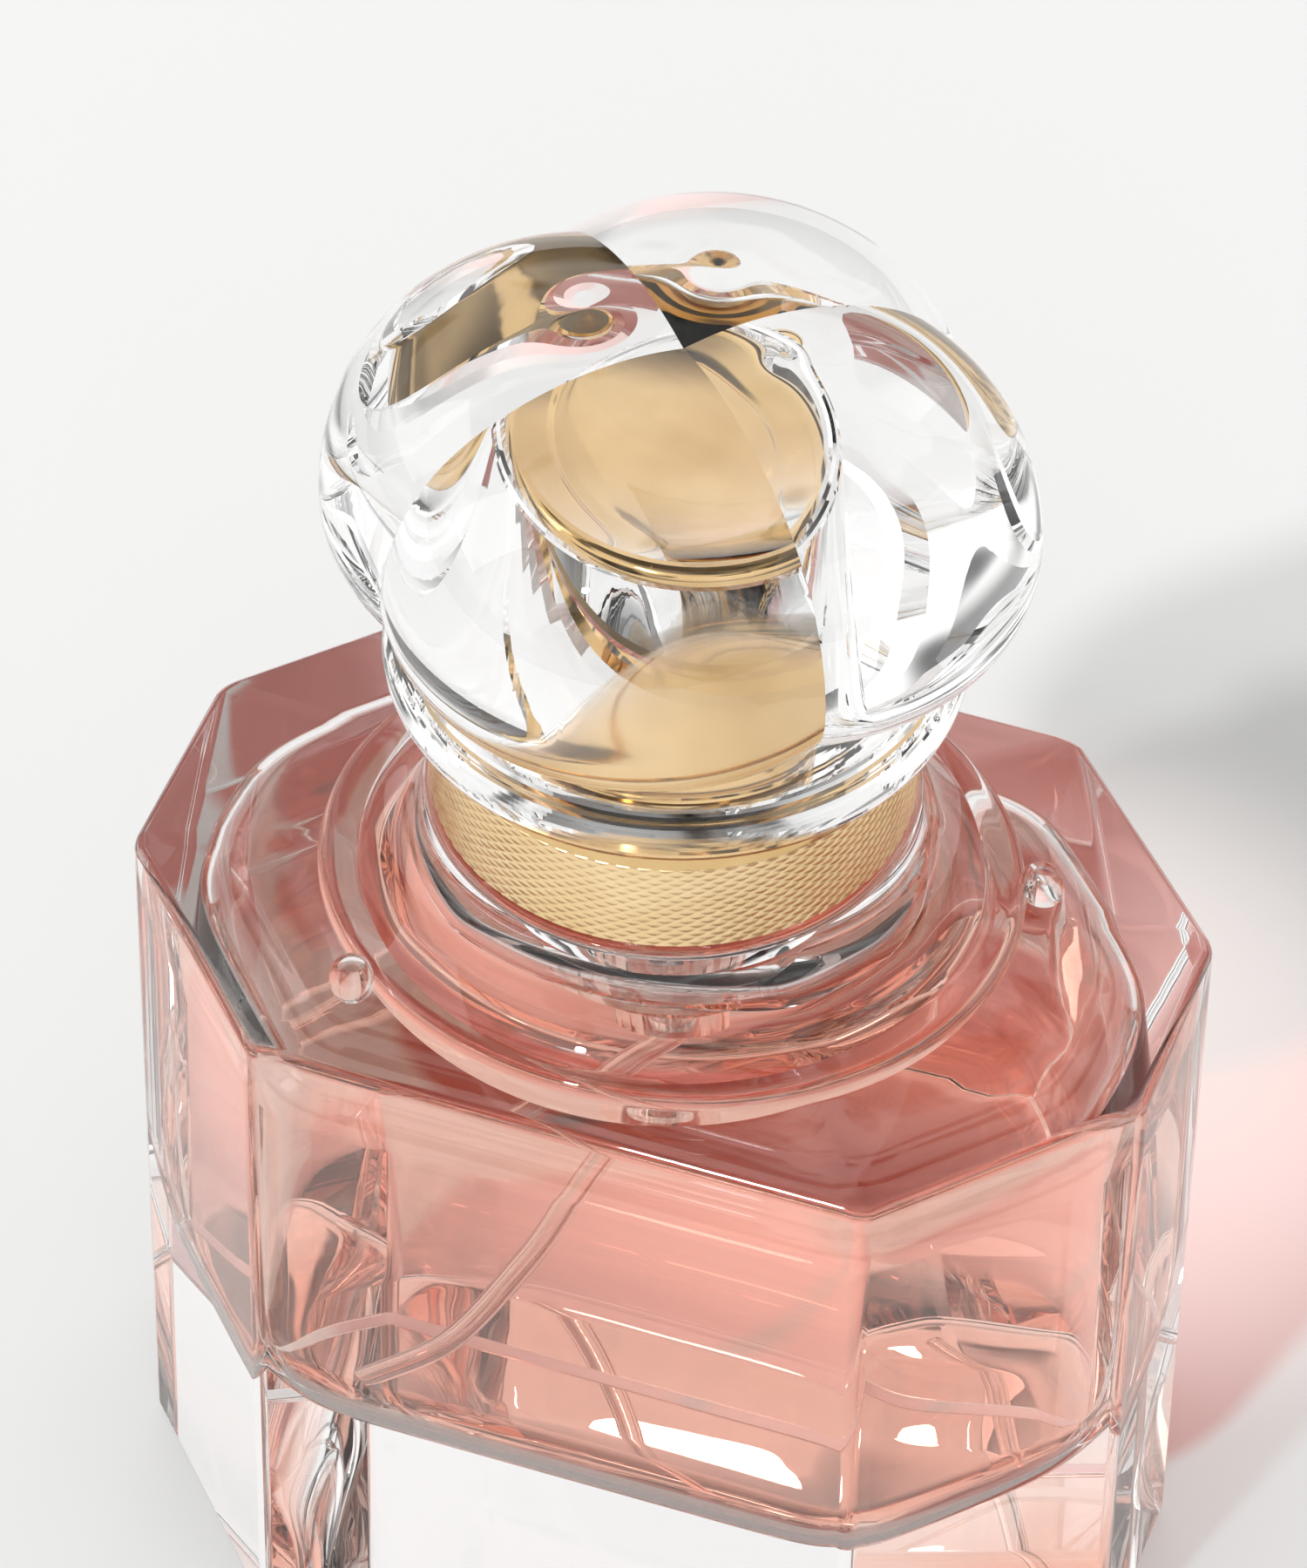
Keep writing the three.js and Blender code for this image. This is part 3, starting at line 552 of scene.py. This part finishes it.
def build_collar():
    """The collar, its band cut by two crossing families of shallow helical grooves."""
    radius, low, top = COLLAR["radius"], COLLAR_LOW[2], COLLAR_HIGH[2]
    band_top = top - COLLAR["lip"]
    around = RHOMBS["around"] * RHOMBS["per_rhomb"]
    levels = RHOMBS["rows"] * RHOMBS["per_rhomb"]
    rows = [circle_row(radius - COLLAR["wall"], low, around), circle_row(radius - 0.2, low, around)]
    for level in range(levels + 1):
        v = level / levels
        row = []
        for i in range(around):
            t = TAU * i / around
            u = RHOMBS["around"] * i / around
            w = RHOMBS["rows"] * v
            rising, falling = (u + w) % 1.0, (u - w) % 1.0
            groove = min(math.sin(math.pi * rising), math.sin(math.pi * falling))
            r = radius - 0.05 - RHOMBS["depth"] * (1 - groove ** 0.8) - RHOMBS["tilt"] * falling
            row.append((r * math.cos(t), r * math.sin(t), low + 0.12 + (band_top - low - 0.2) * v))
        rows.append(row)
    lip = [[radius - 0.18, band_top], [radius - 0.02, band_top + 0.1], [radius - 0.01, top - 0.35]]
    lip += arc((radius - 0.36, top - 0.35), (0.35, 0.35), 15, 90, 5)
    plate_z, opening = top - COLLAR["plate"], COLLAR["opening"]
    lip += [[opening + 0.1, top], [opening, top - 0.1], [opening, plate_z]]
    lip += [[radius - COLLAR["wall"], plate_z]]
    rows += [circle_row(r, z, around) for r, z in lip]
    collar = loft("collar_fine", rows, closed=True, sharp_degrees=55)
    dress(collar, "root", SATIN_GOLD, "satin_gold", "collar_ring")
    collar.data.materials.append(POLISHED_GOLD)
    for polygon in collar.data.polygons:
        if polygon.center.z > (band_top + 0.05) * MM:
            polygon.material_index = 1


# ---------------------------------------------------------------- cap
def cap_lobe(angle):
    r, widest = CAP["lobe"], CAP["widest"]
    profile = [[0, widest - CAP["under_height"]]]
    profile += arc((r - CAP["under_width"], widest), (CAP["under_width"], CAP["under_height"]), -90, 0, 12)
    for share in np.linspace(0.03, 0.97, 35):
        a = share * math.pi / 2
        power = CAP["power"] + CAP["peak"] * share ** 3
        profile.append([r * math.cos(a) ** power, widest + (CAP["apex"] - widest) * math.sin(a)])
    profile.append([0, CAP["apex"]])
    centre = (CAP["offset"] * math.cos(angle), CAP["offset"] * math.sin(angle))
    return lathe("lobe", profile, 176, centre=centre)


def build_cap_crystal():
    middle = CAP["rim_low"] + CAP["rim_height"] / 2
    low = CRYSTAL_LOW[2]
    profile = [[0, low], [CAP["foot"] - 0.4, low], [CAP["foot"], low + 0.3]]
    half_rim, bulge = CAP["rim_height"] / 2, CAP["rim_bulge"]
    profile += arc((CAP["rim"] - bulge, middle), (bulge, half_rim), -90, 90, 14)
    profile += arc((CAP["waist"] + 0.8, middle + half_rim + 0.8), (0.8, 0.8), 270, 180, 5)
    profile += arc((CAP["waist"] + 1.2, CAP["underside"] - 1.2), (1.2, 1.2), 180, 100, 6)
    profile += [[0, CAP["underside"] + 1]]
    stalk = lathe("cap_crystal_fine", profile, 176)
    bore = [[0, low - 1], [CAP["bore"], low - 1]]
    bore += arc((CAP["bore"] - 0.8, CAP["bore_top"] - 0.8), (0.8, 0.8), 0, 90, 6)
    bore += [[0, CAP["bore_top"]]]
    steps = [("UNION", cap_lobe(quarter * math.pi / 2)) for quarter in range(4)]
    steps.append(("DIFFERENCE", lathe("bore", bore, 128)))
    crystal = combine(stalk, steps, CAP["crease_degrees"])
    dress(crystal, "cap", CRYSTAL, "cap_crystal", "cap_crystal")


TOP_RING = {"radius": 5.8, "depth": 0.1, "line": 0.2, "reach": 0.8}


def build_cap_sleeve():
    """The gold cup, with one plain ring turned into its top."""
    low, top = SLEEVE_LOW[2], SLEEVE_HIGH[2] - 0.02
    radius, segments = SLEEVE["radius"], 240
    flange, flange_z, soft = SLEEVE["flange"], low + SLEEVE["flange_height"], SLEEVE["round"]
    profile = [[SLEEVE["bore"], low], [flange - 0.1, low], [flange, low + 0.1], [flange, flange_z - 0.1],
               [flange - 0.1, flange_z], [radius + 0.15, flange_z], [radius, flange_z + 0.15],
               [radius, low + 1.3], [radius - 0.12, low + 1.4], [radius - 0.12, low + 1.55],
               [radius, low + 1.65]]
    profile += arc((radius - soft, top - soft), (soft, soft), 0, 90, 10)
    rows = [circle_row(r, z, segments) for r, z in profile]
    reach = TOP_RING["reach"]
    for r in np.linspace(TOP_RING["radius"] + reach, TOP_RING["radius"] - reach, 25):
        press = math.exp(-((r - TOP_RING["radius"]) / TOP_RING["line"]) ** 2)
        rows.append(circle_row(r, top - TOP_RING["depth"] * press, segments))
    rows.append([(0.0, 0.0, top)])
    inside = [[0, top - 0.55], [SLEEVE["bore"] - 0.3, top - 0.55], [SLEEVE["bore"], top - 0.85]]
    rows += [circle_row(r, z, segments) for r, z in inside]
    sleeve = loft("cap_sleeve_fine", rows, closed=True)
    dress(sleeve, "cap", POLISHED_GOLD, "polished_gold", "cap_sleeve")


# ---------------------------------------------------------------- spray head
def build_spray_head():
    low, top, radius = HEAD_LOW[2], HEAD_HIGH[2], HEAD_HIGH[0]
    nozzle_z = top - 2.9
    profile = [[radius - 0.4, low], [radius - 0.1, low], [radius, low + 0.1], [radius, top - 1.9],
               [radius - 0.06, top - 1.8], [radius - 0.06, top - 1.7], [radius, top - 1.6]]
    profile += arc((radius - 0.8, top - 0.8), (0.8, 0.8), 0, 90, 8)
    profile += arc((0, top), (radius - 1.6, -0.25), 0, 90, 8)[:-1]
    profile += [[0, top - 0.25], [0, top - 0.45], [radius - 0.7, top - 0.45], [radius - 0.4, top - 0.75]]
    shell = lathe_open_axis("spray_head_fine", profile)
    port = lathe("port", [[0, -radius - 1], [1.7, -radius - 1], [1.7, -radius / 2], [0, -radius / 2]], 48)
    forward = Matrix.Rotation(math.radians(-90), 4, "X")
    port.data.transform(Matrix.Translation((0, 0, nozzle_z * MM)) @ forward)
    combine(shell, [("DIFFERENCE", port)])
    dress(shell, "spray_head", POLISHED_GOLD, "polished_gold", "spray_head_shell")


def lathe_open_axis(name, profile, segments=128):
    """A turned cup whose profile touches the axis between its outside and its inside."""
    return loft(name, [circle_row(r, z, segments) for r, z in profile], closed=True)


def finish_cad_nodes():
    """The CAD nodes that stay get their materials."""
    looks = {
        "pump_housing": CLEAR_PLASTIC, "inlet_ball": STEEL, "return_spring": STEEL, "piston": WHITE_PLASTIC,
        "stem": WHITE_PLASTIC, "stem_seal": SEAL_RUBBER, "closure_bush": WHITE_PLASTIC,
        "neck_gasket": SEAL_RUBBER, "crimp_ferrule": ALUMINIUM, "cap_seat": WHITE_PLASTIC,
        "spray_head_core": WHITE_PLASTIC, "nozzle_insert": WHITE_PLASTIC, "cap_liner": WHITE_PLASTIC,
    }
    for name, material in looks.items():
        obj = bpy.data.objects[name]
        obj.data.materials.clear()
        obj.data.materials.append(material)


# ---------------------------------------------------------------- camera, floor and light
def aimed(position, target):
    """Rotation that points an object's -Z from position at target."""
    return (Vector(target) - Vector(position)).to_track_quat("-Z", "Y")


# Angles in degrees about the middle of the flacon's rim, distance in metres.
CAMERA = {"azimuth": 18.46, "elevation": 46.11, "roll": 1.3, "distance": 0.5127, "lens": 190,
          "shift": (-0.0112, 0.0684)}


def add_camera():
    azimuth, elevation, roll = (math.radians(CAMERA[turn]) for turn in ("azimuth", "elevation", "roll"))
    right = Vector((math.cos(azimuth), math.sin(azimuth), 0))
    back = Vector((math.sin(azimuth) * math.cos(elevation), -math.cos(azimuth) * math.cos(elevation),
                   math.sin(elevation)))
    up = back.cross(right)
    turned_right = right * math.cos(roll) + up * math.sin(roll)
    turned_up = up * math.cos(roll) - right * math.sin(roll)
    pivot = Vector((0, 0, BODY["rim"] * MM))
    data = bpy.data.cameras.new("camera")
    data.lens = CAMERA["lens"]
    data.sensor_width = 36
    data.clip_start = 0.01
    data.clip_end = 20
    data.shift_x, data.shift_y = CAMERA["shift"]
    camera = bpy.data.objects.new("camera", data)
    basis = Matrix((turned_right, turned_up, back)).transposed()
    camera.matrix_world = Matrix.Translation(pivot + back * CAMERA["distance"]) @ basis.to_4x4()
    bpy.context.scene.collection.objects.link(camera)
    bpy.context.scene.camera = camera


FLOOR_GAP = 0.1  # air under the flacon, so that its base mirrors as a real one does


def add_floor():
    half = 3.0
    mesh = bpy.data.meshes.new("floor")
    low = -FLOOR_GAP * MM
    corners = [(-half, -half, low), (half, -half, low), (half, half, low), (-half, half, low)]
    mesh.from_pydata(corners, [], [[0, 1, 2, 3]])
    floor = bpy.data.objects.new("floor", mesh)
    mesh.materials.append(floor_paper())
    bpy.context.scene.collection.objects.link(floor)


def add_softbox(name, position, target, size, watts, colour=(1.0, 1.0, 1.0)):
    data = bpy.data.lights.new(name, "AREA")
    data.shape = "RECTANGLE"
    data.size, data.size_y = size
    data.energy = watts
    data.color = colour
    light = bpy.data.objects.new(name, data)
    light.location = position
    light.rotation_mode = "QUATERNION"
    light.rotation_quaternion = aimed(position, target)
    bpy.context.scene.collection.objects.link(light)


def add_glow(name, position, target, degrees, watts, colour):
    """A shadowless spot that stands in for the light the flacon gathers behind itself."""
    data = bpy.data.lights.new(name, "SPOT")
    data.energy = watts
    data.color = colour
    data.spot_size = math.radians(degrees)
    data.spot_blend = 1.0
    data.use_shadow = False
    data.specular_factor = 0.0
    light = bpy.data.objects.new(name, data)
    light.location = position
    light.rotation_mode = "QUATERNION"
    light.rotation_quaternion = aimed(position, target)
    bpy.context.scene.collection.objects.link(light)


def add_sun(direction, strength, degrees):
    data = bpy.data.lights.new("key", "SUN")
    data.energy = strength
    data.angle = math.radians(degrees)
    light = bpy.data.objects.new("key", data)
    light.rotation_mode = "QUATERNION"
    light.rotation_quaternion = aimed(direction, (0, 0, 0))
    bpy.context.scene.collection.objects.link(light)


SUN = {"azimuth": math.radians(253.5), "elevation": math.radians(47), "strength": 1.9, "spread": 3}
SUN["direction"] = (
    math.cos(SUN["azimuth"]) * math.cos(SUN["elevation"]),
    math.sin(SUN["azimuth"]) * math.cos(SUN["elevation"]),
    math.sin(SUN["elevation"]),
)
# The room's brightness against height: sine of the elevation, then grey level.
ROOM = [(0.0, 0.05), (0.1, 0.12), (0.24, 0.9), (0.5, 1.0), (0.78, 0.85), (0.9, 0.16), (1.0, 0.06)]


def add_world():
    """A room that is bright half way up, dim at the horizon and overhead, with darker patches."""
    world = bpy.data.worlds.new("room")
    bpy.context.scene.world = world
    world.use_nodes = True
    tree = world.node_tree
    backdrop = tree.nodes["Background"]
    backdrop.inputs["Strength"].default_value = 1.12
    where = tree.nodes.new("ShaderNodeTexCoord")
    parts = tree.nodes.new("ShaderNodeSeparateXYZ")
    tree.links.new(where.outputs["Generated"], parts.inputs["Vector"])
    ramp = tree.nodes.new("ShaderNodeValToRGB")
    ramp.color_ramp.interpolation = "EASE"
    stops = ramp.color_ramp.elements
    while len(stops) < len(ROOM):
        stops.new(0.5)
    for stop, (height, grey) in zip(stops, ROOM):
        stop.position = height
        stop.color = (grey, grey * 0.995, grey * 0.99, 1.0)
    tree.links.new(parts.outputs["Z"], ramp.inputs["Fac"])
    pattern = tree.nodes.new("ShaderNodeTexNoise")
    pattern.inputs["Scale"].default_value = 2.2
    pattern.inputs["Detail"].default_value = 1.0
    tree.links.new(where.outputs["Generated"], pattern.inputs["Vector"])
    patches = tree.nodes.new("ShaderNodeMapRange")
    patches.interpolation_type = "SMOOTHSTEP"
    patches.inputs["From Min"].default_value = 0.4
    patches.inputs["From Max"].default_value = 0.46
    patches.inputs["To Min"].default_value = 0.1
    patches.inputs["To Max"].default_value = 1.0
    tree.links.new(pattern.outputs["Fac"], patches.inputs["Value"])
    darken = tree.nodes.new("ShaderNodeVectorMath")
    darken.operation = "SCALE"
    tree.links.new(ramp.outputs["Color"], darken.inputs[0])
    tree.links.new(patches.outputs["Result"], darken.inputs["Scale"])
    tree.links.new(darken.outputs["Vector"], backdrop.inputs["Color"])


def set_scene():
    scene = bpy.context.scene
    scene.view_settings.view_transform = "Standard"
    scene.cycles.max_bounces = 32
    scene.cycles.transmission_bounces = 28
    scene.cycles.glossy_bounces = 10
    scene.cycles.transparent_max_bounces = 32
    scene.cycles.sample_clamp_indirect = 6.0
    scene.cycles.caustics_refractive = False
    scene.cycles.caustics_reflective = False


add_camera()
add_floor()
add_world()
add_sun(SUN["direction"], SUN["strength"], SUN["spread"])
add_softbox("left_window", (-0.9, -0.2, 0.7), (0, 0, 0.05), (0.5, 0.7), 1.5)
add_glow("glow", (0.012, 0.042, 0.5), (0.012, 0.042, 0.0), 8.5, 5.2, (1.0, 0.84, 0.8))
set_scene()
build_flacon()
build_perfume()
build_dip_tube()
build_collar()
build_cap_crystal()
build_cap_sleeve()
build_spray_head()
finish_cad_nodes()
